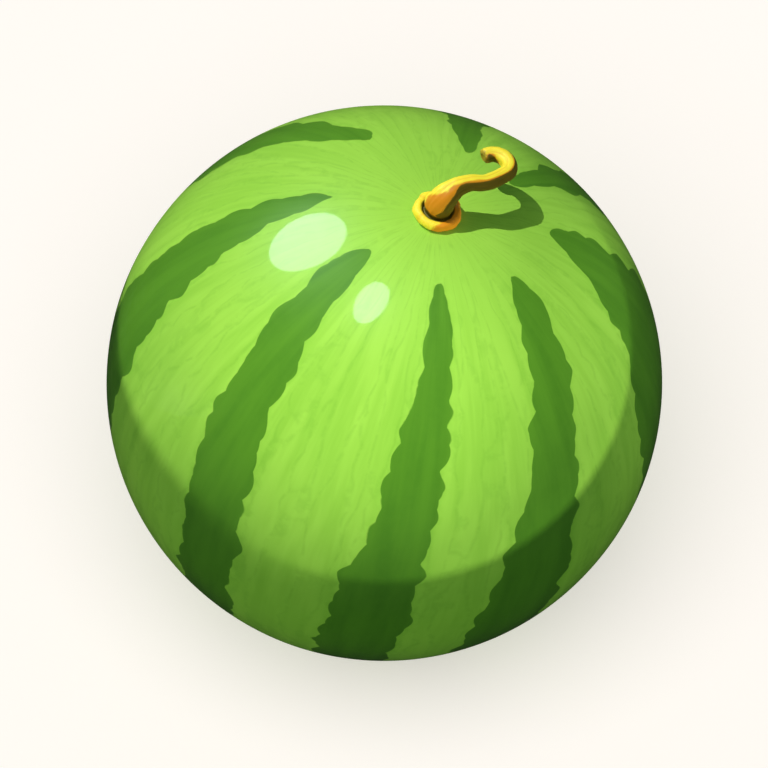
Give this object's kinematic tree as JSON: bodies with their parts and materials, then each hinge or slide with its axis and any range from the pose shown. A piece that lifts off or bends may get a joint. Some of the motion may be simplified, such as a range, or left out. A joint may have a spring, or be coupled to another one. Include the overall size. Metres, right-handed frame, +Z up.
{
  "type": "watermelon",
  "caption": "Whole round watermelon with dark scalloped stripes on a bright green rind, a dry curled stem with a swollen foot, and a small flat spot that it rests on.",
  "frame": {"origin": "middle of the flat spot that the fruit rests on", "axes": "+Z up. The stem end leans 10.2 degrees from +Z towards +X, and the stem curls towards +X and then +Y, so the side that the picture shows faces -Y and up"},
  "size_m": [0.25, 0.25, 0.2643],
  "materials": {
    "rind": "smooth, waxy melon skin: bright yellow-green with dark green stripes that run from the stem to the blossom end",
    "stem": "dry, ribbed stem: straw yellow above, orange-brown at its foot and dark olive in its grooves"
  },
  "bodies": {
    "root": {"melon_body": "rind", "stem": "stem"}
  },
  "joints": []
}
